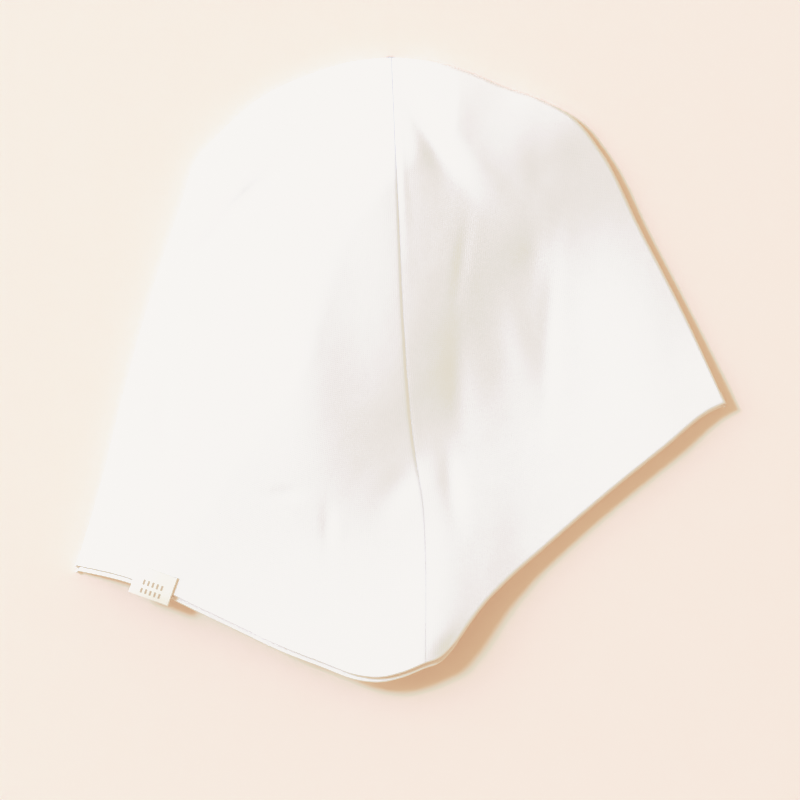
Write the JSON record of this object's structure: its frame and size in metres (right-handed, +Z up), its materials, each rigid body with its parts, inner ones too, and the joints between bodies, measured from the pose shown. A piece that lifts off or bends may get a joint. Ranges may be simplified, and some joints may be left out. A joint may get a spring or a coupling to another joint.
{
  "type": "newborn hat",
  "caption": "Soft lined cotton hat for a newborn, with a round crown and ear flaps, lying flat on its side with its opening free.",
  "frame": {"origin": "middle of the underside of the hat's box, on the surface that it lies on", "axes": "+Z up from the surface, through the flattened hat; +X towards the forehead corner; +Y towards the crown"},
  "size_m": [0.201, 0.1932, 0.0165],
  "materials": {
    "shell_cotton": "soft brushed interlock cotton, ivory white",
    "lining_cotton": "soft interlock cotton, ivory white",
    "woven_tag": "fine woven ribbon, cream"
  },
  "bodies": {
    "root": {"right_front_panel": "shell_cotton", "right_back_panel": "shell_cotton", "left_front_panel": "shell_cotton", "left_back_panel": "shell_cotton", "lining": "lining_cotton", "size_tag": "woven_tag"}
  },
  "joints": []
}
